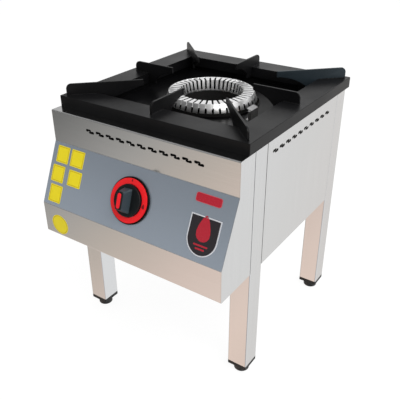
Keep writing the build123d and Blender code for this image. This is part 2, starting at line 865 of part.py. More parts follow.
corners = {
    "front_left": (-1, -1),
    "front_right": (1, -1),
    "rear_left": (-1, 1),
    "rear_right": (1, 1),
}
sides = {"left": -1, "right": 1}
nodes = {}
for name, (side, end) in corners.items():
    nodes["leg_" + name] = leg(side * leg_x, end * leg_y)
    nodes["foot_socket_" + name] = foot_socket(side * leg_x, end * leg_y)
    nodes["foot_" + name] = foot(side * leg_x, end * leg_y)
    nodes["corner_finger_" + name] = corner_finger(math.degrees(math.atan2(end, side)))
for name, side in sides.items():
    nodes["side_panel_" + name] = side_panel(side)
    nodes["control_cheek_" + name] = control_cheek(side)
    nodes["burner_rail_" + name] = burner_rail(side)
for name, angle in {"right": 0, "rear": 90, "left": 180, "front": 270}.items():
    nodes["side_finger_" + name] = side_finger(angle)
nodes["back_panel"] = back_panel()
nodes["control_fascia"] = control_fascia()
nodes["dial_plate"] = dial_plate_sheet()
nodes["pan_support_frame"] = pan_support_frame()
nodes["spill_tray"] = spill_tray()
nodes["tray_screws"] = tray_screws()
nodes["burner_crown"] = burner_crown()
nodes["burner_base"] = burner_base()
nodes["front_crossbar"] = crossbar(crossbar_front, crossbar_front + crossbar_depth)
nodes["rear_crossbar"] = crossbar(crossbar_back - crossbar_depth, crossbar_back)
nodes["rail_bolts"] = rail_bolts()
nodes["venturi_tube"] = venturi_tube()
nodes["air_shutter"] = air_shutter()
nodes["gas_injector"] = gas_injector()
nodes["injector_bracket"] = injector_bracket()
nodes["injector_holder"] = injector_holder()
nodes["dial_bezel"] = dial_bezel()
nodes["dial_ring"] = dial_ring()
nodes["control_knob"] = control_knob()
nodes["knob_pointer"] = knob_pointer()
nodes["valve_spindle"] = valve_spindle()
nodes["push_collar"] = push_collar()
nodes["gas_valve"] = gas_valve()
nodes["valve_screws"] = valve_screws()
nodes["supply_pipe"] = supply_pipe()
nodes["gas_inlet"] = gas_inlet()
nodes["burner_feed_pipe"] = feed_pipe()
nodes["pilot_tube"] = pilot_tube()
nodes["pilot_burner"] = pilot_burner()
nodes["thermocouple"] = thermocouple()

# The origin lies on the floor below the middle of the whole range, knob included.
front_reach = nodes["control_knob"].bounding_box().min.Y
front_reach = min(front_reach, nodes["knob_pointer"].bounding_box().min.Y)
middle_y = (front_reach + half_frame) / 2
os.makedirs("parts", exist_ok=True)
for name, shape in nodes.items():
    solids = shape if isinstance(shape, list) else [shape]
    moved = [Pos(0, -middle_y, 0) * solid for solid in solids]
    export_step(moved[0] if len(moved) == 1 else Compound(moved), "parts/" + name + ".step")
print("burner axis y", round(-middle_y, 3))
print("dial origin", dial.origin - Vector(0, middle_y, 0), "normal", dial.z_dir)
print("injector axis z", round(injector_z, 3), "ports", port_center - Vector(0, middle_y, 0))
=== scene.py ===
import json
import math

import bmesh
import bpy
from mathutils import Matrix, Vector


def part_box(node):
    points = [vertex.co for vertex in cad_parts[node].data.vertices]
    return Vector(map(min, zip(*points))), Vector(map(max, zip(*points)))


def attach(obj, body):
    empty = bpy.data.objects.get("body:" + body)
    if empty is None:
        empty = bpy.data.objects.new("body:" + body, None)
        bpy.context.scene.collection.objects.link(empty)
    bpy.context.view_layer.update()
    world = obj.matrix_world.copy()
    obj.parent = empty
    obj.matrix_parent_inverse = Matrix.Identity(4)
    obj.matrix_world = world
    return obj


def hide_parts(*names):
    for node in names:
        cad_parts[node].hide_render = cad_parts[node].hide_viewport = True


# Stock pot range: finishes, plates, marks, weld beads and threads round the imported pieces.
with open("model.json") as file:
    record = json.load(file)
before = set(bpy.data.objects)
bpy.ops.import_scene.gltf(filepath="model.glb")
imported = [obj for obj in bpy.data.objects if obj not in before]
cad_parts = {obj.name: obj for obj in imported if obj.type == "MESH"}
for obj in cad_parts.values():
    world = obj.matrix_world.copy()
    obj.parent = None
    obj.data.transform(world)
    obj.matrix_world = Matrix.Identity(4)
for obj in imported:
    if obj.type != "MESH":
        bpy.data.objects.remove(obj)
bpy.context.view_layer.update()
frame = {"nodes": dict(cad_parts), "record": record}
nodes = frame["nodes"]
scene = bpy.context.scene
bodies = frame["record"]["behaviour"]["bodies"]
bodyOf = {name: body for body, names in bodies.items() for name in names}
slotOf = {part["node"]: part["material_slot"] for part in frame["record"]["subparts"]}
print("frame loaded:", len(nodes), "nodes")


# Places worked out from the frame

def middle(node):
    low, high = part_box(node)
    return (low + high) / 2


burnerAxis = middle("burner_crown")
crownFoot = Vector((burnerAxis.x, burnerAxis.y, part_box("burner_crown")[0].z))
frameLow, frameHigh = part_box("pan_support_frame")

dial = {
    "tilt": math.radians(24.3),       # sloping face from upright
    "drop": 0.076,                    # dial centre below the face's upper edge
    "ringMiddle": 0.0045,             # middle of the CAD ring's thickness above the dial plate
    "ringTop": 0.008,                 # top of the ring as it is made here
    "plate": 0.001,                   # dial plate's thickness
    "bezelMiddle": 0.0015,            # the same of the bezel
    "hole": 0.045,                    # radius between the holes and the outer edges of ring and bezel
}
faceOut = Vector((0, -math.cos(dial["tilt"]), math.sin(dial["tilt"])))
faceUp = Vector((0, math.sin(dial["tilt"]), math.cos(dial["tilt"])))
dialCentre = middle("dial_ring") - faceOut * dial["ringMiddle"]


def onFace(x, down, out=0.0):
    # A place on the sloping face: x to the right, down from its upper edge, out from the dial plate.
    return dialCentre + Vector((x, 0, 0)) + faceUp * (dial["drop"] - down) + faceOut * out


sheets = {
    "stripAhead": 0.030,              # upper strip of the control box, ahead of the frame
    "seamShadeReach": (0.004, 0.005),      # the painted shade of the seams beside a leg ends between these
}
fasciaLow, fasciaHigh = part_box("control_fascia")
skin = {                              # outer faces of the sheet metal body
    "side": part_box("side_panel_right")[1].x,
    "back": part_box("back_panel")[1].y,
    "strip": frameLow.y - sheets["stripAhead"],
    "chin": fasciaLow.y,
    "top": fasciaHigh.z,
    "bottom": fasciaLow.z,
    "seams": (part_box("leg_front_right")[0].y, *(corner.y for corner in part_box("side_panel_right"))),
    "slope": (dialCentre - faceOut * dial["plate"]).dot(faceOut),
}


# Shader sums: an expression on wires adds its own nodes

class Wire:
    def __init__(self, paint, socket):
        self.paint = paint
        self.socket = socket

    def work(self, operation, first, second):
        return self.paint.add("Math", {0: first, 1: second}, operation=operation)

    def __add__(self, other):
        return self.work("ADD", self, other)

    def __sub__(self, other):
        return self.work("SUBTRACT", self, other)

    def __rsub__(self, other):
        return self.work("SUBTRACT", other, self)

    def __mul__(self, other):
        return self.work("MULTIPLY", self, other)

    def lowest(self, other):
        return self.work("MINIMUM", self, other)

    def highest(self, other):
        return self.work("MAXIMUM", self, other)

    __radd__ = __add__


class Paint:
    def __init__(self, block):
        block.use_nodes = True
        self.block = block
        self.tree = block.node_tree
        self.tree.nodes.clear()

    def add(self, kind, sockets=None, output=0, **settings):
        node = self.tree.nodes.new("ShaderNode" + kind)
        for key, value in settings.items():
            if key == "stops":
                self.setStops(node.color_ramp, value)
            else:
                setattr(node, key, value)
        for key, value in (sockets or {}).items():
            target = node.inputs[key]
            if isinstance(value, Wire):
                self.tree.links.new(value.socket, target)
            elif target.type == "RGBA" and len(value) == 3:
                target.default_value = (*value, 1.0)
            else:
                target.default_value = value
        if not len(node.outputs):
            return None
        return Wire(self, node.outputs[output])

    def setStops(self, ramp, stops):
        while len(ramp.elements) < len(stops):
            ramp.elements.new(0.5)
        for element, (place, colour) in zip(ramp.elements, stops):
            element.position = place
            element.color = (*colour, 1.0)

    def split(self, vector):
        parts = self.add("SeparateXYZ", {0: vector}).socket.node.outputs
        return [Wire(self, parts[index]) for index in range(3)]

    def spot(self):
        return self.add("TexCoord", output=3)

    def place(self, stretch):
        return self.add("Mapping", {0: self.spot(), 3: stretch})

    def noise(self, scale, detail=3.0, stretch=(1, 1, 1), rough=0.55):
        return self.add("TexNoise", {"Vector": self.place(stretch), "Scale": scale, "Detail": detail,
                                     "Roughness": rough})

    def spread(self, value, low, high, start=0.3, end=0.7):
        # start..end of a value becomes low..high, held beyond its ends
        return self.add("MapRange", {0: value, 1: start, 2: end, 3: low, 4: high})

    def share(self, value, start=0.3, end=0.7):
        return self.spread(value, 0.0, 1.0, start, end)

    def ramp(self, value, start, end, stops):
        # Colours at the values given, in a ramp laid out from start to end
        scaled = [((at - start) / (end - start), colour) for at, colour in stops]
        return self.add("ValToRGB", {0: self.share(value, start, end)}, stops=scaled)

    def mix(self, share, first, second):
        return self.add("Mix", {0: share, 6: first, 7: second}, output=2, data_type="RGBA")

    def tinted(self, share, colour, low, high):
        # A colour that goes from its darker to its paler shade
        return self.mix(share, shade(colour, low), shade(colour, high))

    def bump(self, height, depth, strength=1.0):
        return self.add("Bump", {"Height": height, "Distance": depth, "Strength": strength})

    def finish(self, **sockets):
        named = {key.replace("_", " "): value for key, value in sockets.items()}
        shader = self.add("BsdfPrincipled", named)
        self.add("OutputMaterial", {"Surface": shader})
        return self.block


def newPaint(name):
    return Paint(bpy.data.materials.new(name))


def shade(colour, factor):
    return tuple(min(1.0, part * factor) for part in colour)


def grey(value):
    return (value, value, value)


# Finishes

def enamel(name, look):
    # Sprayed and fired black: soft mottling, orange peel, a few fine specks of dust
    paint = newPaint(name)
    mottle = paint.noise(look["mottleScale"], 4.0)
    peel = paint.noise(look["peelScale"], 2.0)
    specks = paint.share(paint.noise(look["speckScale"], 1.0), 0.72, 0.78)
    colour = paint.tinted(paint.share(mottle), look["colour"], 0.8, 1.25)
    colour = paint.mix(specks * look["specks"], colour, look["speckColour"])
    rough = paint.spread(mottle, look["rough"] - 0.05, look["rough"] + 0.06) + specks * 0.1
    return paint.finish(Base_Color=colour, Roughness=rough, Specular_IOR_Level=look["specular"],
                        Normal=paint.bump(peel, look["peelDepth"]))


def behindSkin(paint):
    # How far a place lies behind the body's outer sheet, in metres; the sheets' painted shade grows
    # with it
    x, y, z = paint.split(paint.spot())
    slope = skin["slope"] - (y * faceOut.y + z * faceOut.z)
    front = (y - skin["strip"]).highest(slope).lowest(y - skin["chin"])
    level = (skin["top"] - z).lowest(z - skin["bottom"])
    across = (skin["side"] - x).lowest(x + skin["side"])
    return front.lowest(level).lowest(across).lowest(skin["back"] - y)


def brushedSheet(name, look):
    # Rolled and brushed stainless: long fine scratches one way, and a faint cloudiness.
    # Painted shade: what lies behind the body's skin is painted dark and dull, and so are the legs'
    # edges at a seam.
    paint = newPaint(name)
    fine = paint.noise(look["scratchScale"], 2.0, look["along"])
    broad = paint.noise(look["scratchScale"] / 6, 2.0, look["along"])
    cloud = paint.noise(look["cloudScale"], 2.0)
    tone = paint.spread(fine, 0.0, 0.6) + paint.spread(broad, 0.0, 0.4)
    colour = paint.tinted(tone, look["colour"], 0.97, 1.03)
    colour = paint.mix(paint.spread(cloud, 0.0, 0.5), colour, shade(look["colour"], 0.97))
    rough = paint.spread(tone, look["rough"] - 0.02, look["rough"] + 0.03, 0.0, 1.0)
    rough = rough + paint.spread(cloud, 0.0, look["handling"])
    metal = 1.0
    # Painted shade inside the body: the steel turns dark and dull with its depth behind the skin
    if "innerFrom" in look:
        depth = behindSkin(paint)
        inner = paint.share(depth, *look["innerFrom"])
        # Painted shade in the seams beside the legs
        if "seamFrom" in look:
            y = paint.split(paint.spot())[1]
            for seam in skin["seams"]:
                near = paint.spread((y - seam).highest(seam - y), 1.0, 0.0, *sheets["seamShadeReach"])
                inner = inner.highest(near * paint.share(depth, *look["seamFrom"]))
        colour = paint.mix(inner, colour, look["inner"])
        rough = rough + inner * 0.5
        metal = 1.0 - inner * 0.85
    return paint.finish(Base_Color=colour, Metallic=metal, Roughness=rough,
                        Normal=paint.bump(tone, look["scratchDepth"], look["scratch"]))


def printedFilm(name, look):
    # Matt printed film over sheet metal, with a fine leather-like press grain
    paint = newPaint(name)
    grain = paint.noise(look["grainScale"])
    cloud = paint.noise(look["cloudScale"], 2.0)
    colour = paint.tinted(paint.share(grain), look["colour"], 0.96, 1.04)
    colour = paint.mix(paint.spread(cloud, 0.0, 0.6), colour, shade(look["colour"], 0.95))
    rough = paint.spread(grain, look["rough"] - 0.04, look["rough"] + 0.05)
    return paint.finish(Base_Color=colour, Roughness=rough, Metallic=look["metal"],
                        Specular_IOR_Level=look["specular"],
                        Normal=paint.bump(grain, look["grainDepth"]))


def sticker(name, look):
    # Glossier printed sheet with faint scuffs
    paint = newPaint(name)
    grain = paint.noise(look["grainScale"], 2.0)
    scuff = paint.share(paint.noise(look["scuffScale"], 4.0), 0.5, 0.75)
    colour = paint.tinted(paint.share(grain), look["colour"], 0.97, 1.03)
    colour = paint.mix(scuff * look["scuff"], colour, shade(look["colour"], 0.8))
    return paint.finish(Base_Color=colour, Roughness=paint.spread(grain, *look["rough"]),
                        Specular_IOR_Level=look["specular"],
                        Normal=paint.bump(grain, look["grainDepth"]))


def moulded(name, look):
    # Spark-eroded moulded plastic
    paint = newPaint(name)
    grain = paint.noise(look["grainScale"], 2.0)
    rub = paint.share(paint.noise(look["rubScale"]), 0.45, 0.7)
    colour = paint.tinted(paint.share(grain), look["colour"], 0.9, 1.12)
    if "flank" in look:
        # Painted sheen: the knob's grip is paler on its flanks, between the skirt and the grip's top
        knobTop = max((vert.co - dialCentre).dot(faceOut)
                      for vert in nodes["control_knob"].data.vertices)
        start, end = (knobTop - below for below in look["flankTo"])
        x, y, z = paint.split(paint.spot())
        rise = y * faceOut.y + z * faceOut.z - dialCentre.dot(faceOut)
        flank = paint.share(rise, *look["flankFrom"]).lowest(
            paint.spread(rise, 1.0, 0.0, start, end))
        colour = paint.mix(flank, colour, look["flank"])
    rough = paint.spread(grain, look["rough"] - 0.05, look["rough"] + 0.05) - rub * look["rub"]
    return paint.finish(Base_Color=colour, Roughness=rough, Specular_IOR_Level=look["specular"],
                        Normal=paint.bump(grain, look["grainDepth"]))


def castMetal(name, look):
    # Sand-cast skin: coarse and fine pits, darker in the hollows
    paint = newPaint(name)
    coarse = paint.noise(look["sandScale"], 5.0, rough=0.65)
    fine = paint.noise(look["sandScale"] * 4)
    pits = coarse * 0.6 + fine * 0.4
    tone = paint.share(pits, 0.35, 0.65)
    colour = paint.tinted(tone, look["colour"], 0.75, 1.2)
    rough = paint.spread(tone, look["rough"] + 0.08, look["rough"] - 0.06, 0.0, 1.0)
    return paint.finish(Base_Color=colour, Metallic=look["metal"], Roughness=rough,
                        Normal=paint.bump(pits, look["sandDepth"]))


crownSkin = {                         # radii at the crown's foot and their change with height
    "outerFoot": 0.1130,
    "outerLean": 0.42,
    "innerFoot": 0.0713,
    "innerLean": 0.2273,
    "top": 0.025,
}


def behindCrown(paint):
    # How far a place lies behind the crown's skin: its outer cone, its top and its inner cone. The
    # crown's painted shade grows with it.
    fromFoot = paint.add("VectorMath", {0: paint.spot(), 1: crownFoot}, operation="SUBTRACT")
    x, y, z = paint.split(fromFoot)
    flat = paint.add("CombineXYZ", {0: x, 1: y})
    radius = paint.add("VectorMath", {0: flat}, output=1, operation="LENGTH")
    outer = crownSkin["outerFoot"] - z * crownSkin["outerLean"] - radius
    inner = radius - (crownSkin["innerFoot"] + z * crownSkin["innerLean"])
    return outer.lowest(inner).lowest(crownSkin["top"] - z)


def turnedMetal(name, look):
    # Plated, drawn or machined metal: fine tool marks and slight tarnish
    paint = newPaint(name)
    marks = paint.noise(look["markScale"], 2.0, look["along"])
    tarnish = paint.share(paint.noise(look["tarnishScale"], 4.0), 0.42, 0.68)
    colour = paint.tinted(paint.share(marks), look["colour"], 0.95, 1.04)
    colour = paint.mix(tarnish * look["tarnish"], colour, look["tarnishColour"])
    rough = paint.spread(marks, look["rough"] - 0.03, look["rough"] + 0.04)
    rough = rough + tarnish * look["tarnish"] * 0.25
    # Painted shade: the crown darkens where a place lies deep behind its skin, down in its slots
    if "inner" in look:
        inner = paint.share(behindCrown(paint), *look["innerFrom"])
        colour = paint.mix(inner, colour, look["inner"])
    return paint.finish(Base_Color=colour, Metallic=1.0, Roughness=rough,
                        Normal=paint.bump(marks, look["markDepth"]))


def looksOf(shared, **own):
    # Looks of one kind of finish: the values that they share, then each one's own
    return {name: {**shared, **look} for name, look in own.items()}


enamelLook = looksOf(
    {"mottleScale": 9.0, "peelScale": 520.0, "peelDepth": 0.00004, "speckScale": 700.0,
     "specks": 0.35, "rough": 0.34},
    black_enamel={"colour": (0.0055, 0.0055, 0.006), "speckColour": grey(0.04), "rough": 0.36,
        "specular": 0.16},
    # A bluish enamel for one finger: a painted reflection of the sky
    blued_enamel={"colour": (0.022, 0.031, 0.038), "speckColour": (0.05, 0.06, 0.07),
        "specular": 0.2},
    tray_enamel={"colour": (0.003, 0.003, 0.0033), "mottleScale": 14.0, "peelScale": 420.0,
        "peelDepth": 0.00003, "speckScale": 600.0, "specks": 0.3, "speckColour": grey(0.03),
        "specular": 0.08},
    black_bar={"colour": (0.006, 0.006, 0.0063), "mottleScale": 20.0, "peelScale": 600.0,
        "peelDepth": 0.00005, "speckScale": 800.0, "specks": 0.4,
        "speckColour": (0.07, 0.065, 0.06), "rough": 0.5, "specular": 0.35},
    pipe_steel={"colour": grey(0.42), "mottleScale": 60.0, "peelScale": 300.0, "speckScale": 500.0,
        "specks": 0.5, "speckColour": grey(0.6), "rough": 0.5, "specular": 0.5})
# The sheets' inner colour is painted shade, behind the body's skin and in the legs' seams
sheetLook = looksOf(
    {"colour": grey(0.72), "scratchScale": 900.0, "scratchDepth": 0.00001, "cloudScale": 5.0,
     "handling": 0.03, "inner": grey(0.03)},
    satin_steel={"along": (1.0, 1.0, 0.012), "scratch": 0.25, "rough": 0.15,
        "innerFrom": (0.0002, 0.0004)},
    leg_steel={"along": (1.0, 1.0, 0.012), "scratch": 0.25, "rough": 0.15,
        "innerFrom": (0.0008, 0.0012), "seamFrom": (0.00015, 0.0004)},
    fascia_steel={"along": (0.012, 1.0, 1.0), "scratch": 0.2, "rough": 0.11,
        "innerFrom": (0.0005, 0.0009)},
    back_steel={"colour": (0.66, 0.66, 0.665), "along": (0.012, 1.0, 1.0), "scratchScale": 700.0,
        "scratch": 0.3, "cloudScale": 6.0, "rough": 0.24, "handling": 0.05,
        "innerFrom": (0.0004, 0.0011)},
    zinc_sheet={"colour": (0.55, 0.56, 0.57), "along": (1.0, 1.0, 0.2), "scratchScale": 400.0,
        "scratchDepth": 0.00002, "scratch": 0.3, "cloudScale": 40.0, "rough": 0.35,
        "handling": 0.1})
filmLook = looksOf(
    {"grainScale": 900.0, "grainDepth": 0.000006, "cloudScale": 30.0, "rough": 0.3, "metal": 0.0,
     "specular": 0.5},
    dial_plate_grey={"colour": (0.405, 0.462, 0.535), "grainDepth": 0.000002, "cloudScale": 4.0,
        "rough": 0.2, "metal": 0.6, "specular": 0.3},
    red_ring={"colour": (0.93, 0.014, 0.02), "grainScale": 700.0, "grainDepth": 0.000008,
        "cloudScale": 12.0, "specular": 0.25},
    pointer_red={"colour": (0.93, 0.014, 0.025), "grainScale": 700.0, "grainDepth": 0.000008,
        "specular": 0.25},
    plateRed={"colour": (0.47, 0.012, 0.03), "rough": 0.25},
    rimRed={"colour": (0.62, 0.09, 0.11), "rough": 0.25},
    plateBlack={"colour": (0.02, 0.016, 0.02)},
    plateSilver={"colour": (0.72, 0.73, 0.77), "metal": 0.2},
    markRed={"colour": (0.22, 0.006, 0.008), "rough": 0.35, "specular": 0.25})
stickerLook = looksOf(
    {"grainScale": 900.0, "grainDepth": 0.000006, "scuffScale": 70.0, "scuff": 0.25,
     "rough": (0.38, 0.45), "specular": 0.3},
    yellowFilm={"colour": (0.92, 0.76, 0.012)},
    ochreLine={"colour": (0.55, 0.36, 0.01)})
plasticLook = looksOf(
    {"grainScale": 500.0, "grainDepth": 0.00006, "rubScale": 60.0, "rub": 0.1, "rough": 0.5,
     "specular": 0.4},
    socket_plastic={"colour": grey(0.014), "rub": 0.08, "rough": 0.55},
    foot_plastic={"colour": grey(0.02), "rubScale": 50.0},
    black_plastic={"colour": grey(0.003), "grainScale": 700.0, "grainDepth": 0.00003, "rub": 0.06,
        "specular": 0.15},
    # The knob's flank colour is a painted sheen
    knob_plastic={"colour": (0.007, 0.009, 0.010), "grainScale": 700.0, "grainDepth": 0.00003,
        "rubScale": 50.0, "rough": 0.42, "specular": 0.25, "flank": (0.040, 0.056, 0.068),
        "flankFrom": (0.0145, 0.0165), "flankTo": (0.0022, 0.0012)})
castLook = {
    "cast_burner": {"colour": (0.012, 0.0115, 0.0115), "sandScale": 260.0, "sandDepth": 0.0003,
                    "rough": 0.62, "metal": 0.6},
    "cast_aluminium": {"colour": grey(0.5), "sandScale": 300.0, "sandDepth": 0.0002,
                       "rough": 0.48, "metal": 1.0},
}
turnedLook = looksOf(
    {"along": (1, 1, 1), "markScale": 900.0, "markDepth": 0.00001, "tarnish": 0.15, "rough": 0.3},
    # The crown's inner colour is painted shade, deep in its slots
    crown_metal={"colour": grey(0.92), "along": (0.05, 0.05, 1), "markScale": 1500.0,
        "markDepth": 0.0000005, "tarnishScale": 30.0, "tarnish": 0.06,
        "tarnishColour": (0.5, 0.48, 0.45), "rough": 0.34, "inner": grey(0.01),
        "innerFrom": (0.0010, 0.0022)},
    pilot_metal={"colour": grey(0.5), "markDepth": 0.000002, "tarnishScale": 150.0, "tarnish": 0.3,
        "tarnishColour": (0.16, 0.14, 0.12), "rough": 0.42},
    zinc_screws={"colour": (0.6, 0.6, 0.58), "markDepth": 0.00002, "tarnishScale": 150.0,
        "tarnish": 0.2, "tarnishColour": (0.4, 0.38, 0.33)},
    brass={"colour": (0.72, 0.5, 0.2), "markDepth": 0.00002, "tarnishScale": 90.0, "tarnish": 0.25,
        "tarnishColour": (0.32, 0.2, 0.09), "rough": 0.27},
    bright_steel={"colour": grey(0.75), "tarnishScale": 90.0, "tarnishColour": (0.45, 0.4, 0.36),
        "rough": 0.2},
    aluminium_tube={"colour": (0.68, 0.69, 0.7), "markScale": 600.0, "tarnishScale": 60.0,
        "tarnishColour": grey(0.5)},
    copper_lead={"colour": (0.72, 0.36, 0.22), "markScale": 600.0, "tarnishScale": 60.0,
        "tarnish": 0.3, "tarnishColour": (0.25, 0.11, 0.06)})
finishes = {}
for maker, looks in ((enamel, enamelLook), (brushedSheet, sheetLook), (printedFilm, filmLook),
                     (sticker, stickerLook), (moulded, plasticLook), (castMetal, castLook),
                     (turnedMetal, turnedLook)):
    for slotName, look in looks.items():
        finishes[slotName] = maker(slotName, look)
print("finishes made:", len(finishes))


def cover(piece, finish):
    piece.data.materials.clear()
    piece.data.materials.append(finish)


# Nodes whose finish isn't the one named by their slot
# The rear right corner finger gets a bluish enamel, a painted reflection of the sky
ownFinish = {"pilot_burner": "pilot_metal", "corner_finger_rear_right": "blued_enamel"}


def finishOf(node):
    return finishes["leg_steel" if node.startswith("leg_") else ownFinish.get(node, slotOf[node])]


for name, piece in nodes.items():
    cover(piece, finishOf(name))


# Making pieces

def linked(name, data):
    thing = bpy.data.objects.new(name, data)
    scene.collection.objects.link(thing)
    return thing


def newPiece(name, mesh, body, finish):
    piece = linked(name, mesh)
    if finish:
        cover(piece, finish)
    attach(piece, body)
    return piece


def plainMesh(name, points, edges=(), faces=()):
    mesh = bpy.data.meshes.new(name)
    mesh.from_pydata(points, list(edges), list(faces))
    return mesh


def meshOf(name, build):
    # A mesh that a function fills through bmesh, with its faces turned outwards
    shape = bmesh.new()
    build(shape)
    bmesh.ops.recalc_face_normals(shape, faces=shape.faces)
    mesh = bpy.data.meshes.new(name)
    shape.to_mesh(mesh)
    shape.free()
    return mesh


def shownMesh(piece, name):
    # The piece with its modifiers as a plain mesh
    graph = bpy.context.evaluated_depsgraph_get()
    return bpy.data.meshes.new_from_object(piece.evaluated_get(graph), preserve_all_data_layers=True,
                                           depsgraph=graph)


soften = {"dissolve": math.radians(0.5), "merge": 0.000002, "limit": math.radians(35), "segments": 2}


def breakEdges(piece, width):
    edge = piece.modifiers.new("edge", "BEVEL")
    edge.width = width
    edge.segments = soften["segments"]
    edge.limit_method = "ANGLE"
    edge.angle_limit = soften["limit"]
    edge.harden_normals = True


def softened(node, width, moved=None):
    # The node again with its sharp edges broken. Where the copy's size differs from the node's,
    # moved gives each of its points a new place.
    shape = bmesh.new()
    shape.from_mesh(nodes[node].data)
    bmesh.ops.remove_doubles(shape, verts=shape.verts, dist=soften["merge"])
    if moved:
        shape.normal_update()
        for vert, spot in [(vert, moved(vert)) for vert in shape.verts]:
            vert.co = spot
    if width:
        bmesh.ops.dissolve_limit(shape, angle_limit=soften["dissolve"], verts=shape.verts,
                                 edges=shape.edges)
    mesh = bpy.data.meshes.new(node + "Soft")
    shape.to_mesh(mesh)
    shape.free()
    rough = linked(node + "Rough", mesh)
    if width:
        breakEdges(rough, width)
    done = shownMesh(rough, node)
    bpy.data.objects.remove(rough)
    piece = newPiece(node + "Edged", done, bodyOf[node], finishOf(node))
    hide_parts(node)


reshaped = {
    "sink": 0.0048,                       # tray's deck and the collar of its hole go down by this
    "seam": 0.0008,                       # open seam between the control box's cheeks and the legs
    "flange": 0.004,                      # the sockets' flanges reach down by this over the feet
    "bezelRadius": 0.0517,
    "bezelTop": 0.005,
    "ringRadius": 0.0485,
    "ventRow": 0.028,                     # middle of the vents below the body's top
    "ventReach": 0.008,
    "ventWider": 0.0014,
    "rimSheet": 0.002,                    # the tray's rim down to here keeps its place
    "near": 0.0001,
}
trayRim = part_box("spill_tray")[1].z - reshaped["rimSheet"]
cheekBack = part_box("control_cheek_right")[1].y
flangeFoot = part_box("foot_socket_front_left")[0].z


def sunkTray(vert):
    return vert.co - Vector((0, 0, reshaped["sink"] if vert.co.z < trayRim else 0))


def seamedCheek(vert):
    atSeam = vert.co.y > cheekBack - reshaped["near"]
    return vert.co - Vector((0, reshaped["seam"] if atSeam else 0, 0))


def longerFlange(vert):
    atFoot = abs(vert.co.z - flangeFoot) < reshaped["near"]
    return vert.co - Vector((0, 0, reshaped["flange"] if atFoot else 0))


def widerVents(sheetAxis):
    # A row of vents cut a little wider all round, on a sheet that faces along an axis
    row = skin["top"] - reshaped["ventRow"]

    def move(vert):
        if abs(vert.co.z - row) > reshaped["ventReach"]:
            return vert.co
        walls = [face.normal for face in vert.link_faces if abs(face.normal[sheetAxis]) < 0.5]
        return vert.co - sum(walls, Vector()).normalized() * reshaped["ventWider"]
    return move


def dialRing(split, outer, low, high):
    # A flat ring round the dial's axis gets this outer radius and these heights above the plate
    def move(vert):
        out = (vert.co - dialCentre).dot(faceOut)
        flat = vert.co - dialCentre - faceOut * out
        radius = outer if flat.length > dial["hole"] else flat.length
        return dialCentre + flat.normalized() * radius + faceOut * (high if out > split else low)
    return move


edged = {                             # start of the nodes' names: edge's width and the new places
    "side_finger": (0.0008, None),
    "corner_finger": (0.0008, None),
    "control_knob": (0.0006, None),
    "foot_": (0.0008, longerFlange),
    "spill_tray": (0.0003, sunkTray),
    "control_cheek": (0.0002, seamedCheek),
    "side_panel": (0.0, widerVents(0)),
    "control_fascia": (0.0, widerVents(1)),
    "dial_bezel": (0.0008, dialRing(dial["bezelMiddle"], reshaped["bezelRadius"], 0.0,
                                    reshaped["bezelTop"])),
    "dial_ring": (0.0003, dialRing(dial["ringMiddle"], reshaped["ringRadius"],
                                   reshaped["bezelTop"], dial["ringTop"])),
}
for name in sorted(nodes):
    for start, (width, moved) in edged.items():
        if name.startswith(start):
            softened(name, width, moved)
print("sharp edges broken")


# The ledge's rear fold, which hangs behind the front vents from leg to leg: a dark sheet that stands in
# for the shade inside the body, so that the vents show dark
fold = {"half": 0.199, "deep": 0.085, "thick": 0.001, "gap": 0.0005, "edge": 0.0002}


def foldOf(shape):
    back = cheekBack - fold["gap"]
    top = skin["top"] - fold["thick"]
    low = Vector((-fold["half"], back - fold["thick"], top - fold["deep"]))
    high = Vector((fold["half"], back, top))
    bmesh.ops.create_cube(shape, size=1.0, matrix=Matrix.Translation((low + high) / 2)
                          @ Matrix.Diagonal((*(high - low), 1.0)))
    bmesh.ops.bevel(shape, geom=shape.edges, offset=fold["edge"], segments=1, affect="EDGES")


newPiece("ventShadeFold", meshOf("ventShadeFold", foldOf), "root", finishes["fascia_steel"])


# Plates and patches on the control box

def insetBox(box, by):
    x0, x1, y0, y1 = box
    return x0 + by, x1 - by, y0 + by, y1 - by


def roundedOutline(box, corner, steps):
    x0, x1, y0, y1 = box
    points = []
    for cx, cy, start in ((x1 - corner, y1 - corner, 0), (x0 + corner, y1 - corner, 90),
                          (x0 + corner, y0 + corner, 180), (x1 - corner, y0 + corner, 270)):
        for step in range(steps + 1):
            turn = math.radians(start + 90 * step / steps)
            points.append((cx + corner * math.cos(turn), cy + corner * math.sin(turn)))
    return points


def slab(shape, outline, low, high, spot):
    # A closed plate between two heights, its outline put in place by spot(x, y, height)
    base = [shape.verts.new(spot(x, y, low)) for x, y in outline]
    top = [shape.verts.new(spot(x, y, high)) for x, y in outline]
    shape.faces.new(base)
    shape.faces.new(top)
    for index in range(len(base)):
        after = (index + 1) % len(base)
        shape.faces.new((base[index], base[after], top[after], top[index]))


def frameSlab(shape, outer, inner, low, high, spot):
    # A closed band between two outlines with as many points each
    rings = [[shape.verts.new(spot(x, y, z)) for x, y in line]
             for line, z in ((outer, low), (outer, high), (inner, high), (inner, low))]
    count = len(outer)
    for ring in range(4):
        one, two = rings[ring], rings[(ring + 1) % 4]
        for index in range(count):
            after = (index + 1) % count
            shape.faces.new((one[index], one[after], two[after], two[index]))


def fixed(name, outlines, heights, spot, finish):
    # A plate, or a band between two outlines, that stays on the body
    build = slab if len(outlines) == 1 else frameSlab
    newPiece(name, meshOf(name, lambda shape: build(shape, *outlines, *heights, spot)), "root",
             finishes[finish])


